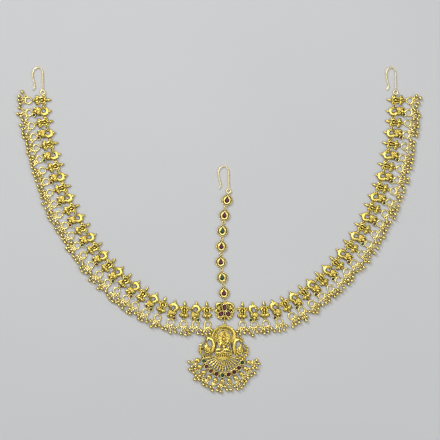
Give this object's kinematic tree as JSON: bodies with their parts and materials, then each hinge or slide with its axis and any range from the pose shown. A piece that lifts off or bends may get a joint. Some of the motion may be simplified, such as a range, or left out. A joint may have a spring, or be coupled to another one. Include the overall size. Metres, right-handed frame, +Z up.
{
  "type": "head chain",
  "caption": "Antique gold head chain laid flat: two side chains of bird and lotus plates with bead drops, a rosette, a stone strand, hair hooks and a pendant with a seated figure.",
  "frame": {"origin": "middle of the flat back of the rosette that joins the side chains, the centre strand and the pendant", "axes": "+X to the viewer's right across the spread side chains, +Y along the centre strand towards its hook, +Z up off the surface that it lies on, out of the ornament's face"},
  "size_m": [0.2633, 0.2117, 0.0032],
  "materials": {
    "antique_gold": "antique gold plating, polished high spots and dark recesses",
    "pale_gold": "bright pale gold plated wire",
    "ruby_glass": "polished dark red glass stone over foil",
    "emerald_glass": "polished dark green glass stone over foil"
  },
  "bodies": {
    "root": {"rosette": "antique_gold", "pendant": "antique_gold", "side_chain_left": "antique_gold", "side_chain_right": "antique_gold", "rosette_stone_1": "ruby_glass", "rosette_stone_2": "ruby_glass", "rosette_stone_3": "ruby_glass", "strand_link_1": "antique_gold", "strand_stone_1": "ruby_glass", "strand_ring_1": "pale_gold", "strand_link_2": "antique_gold", "strand_stone_2": "emerald_glass", "strand_ring_2": "pale_gold", "strand_link_3": "antique_gold", "strand_stone_3": "ruby_glass", "strand_ring_3": "pale_gold", "strand_link_4": "antique_gold", "strand_stone_4": "ruby_glass", "strand_ring_4": "pale_gold", "strand_link_5": "antique_gold", "strand_stone_5": "emerald_glass", "strand_ring_5": "pale_gold", "strand_link_6": "antique_gold", "strand_stone_6": "ruby_glass", "strand_ring_6": "pale_gold", "strand_link_7": "antique_gold", "strand_stone_7": "ruby_glass", "strand_ring_7": "pale_gold", "pendant_stone_1": "emerald_glass", "pendant_stone_2": "ruby_glass", "pendant_stone_3": "ruby_glass", "pendant_stone_4": "ruby_glass", "pendant_stone_5": "emerald_glass", "pendant_stone_6": "ruby_glass", "pendant_stone_7": "ruby_glass", "pendant_stone_8": "ruby_glass", "pendant_stone_9": "emerald_glass", "pendant_ring": "pale_gold", "side_ring_left": "pale_gold", "side_ring_right": "pale_gold", "hook_left": "pale_gold", "hook_right": "pale_gold", "hook_centre": "pale_gold"}
  },
  "joints": []
}
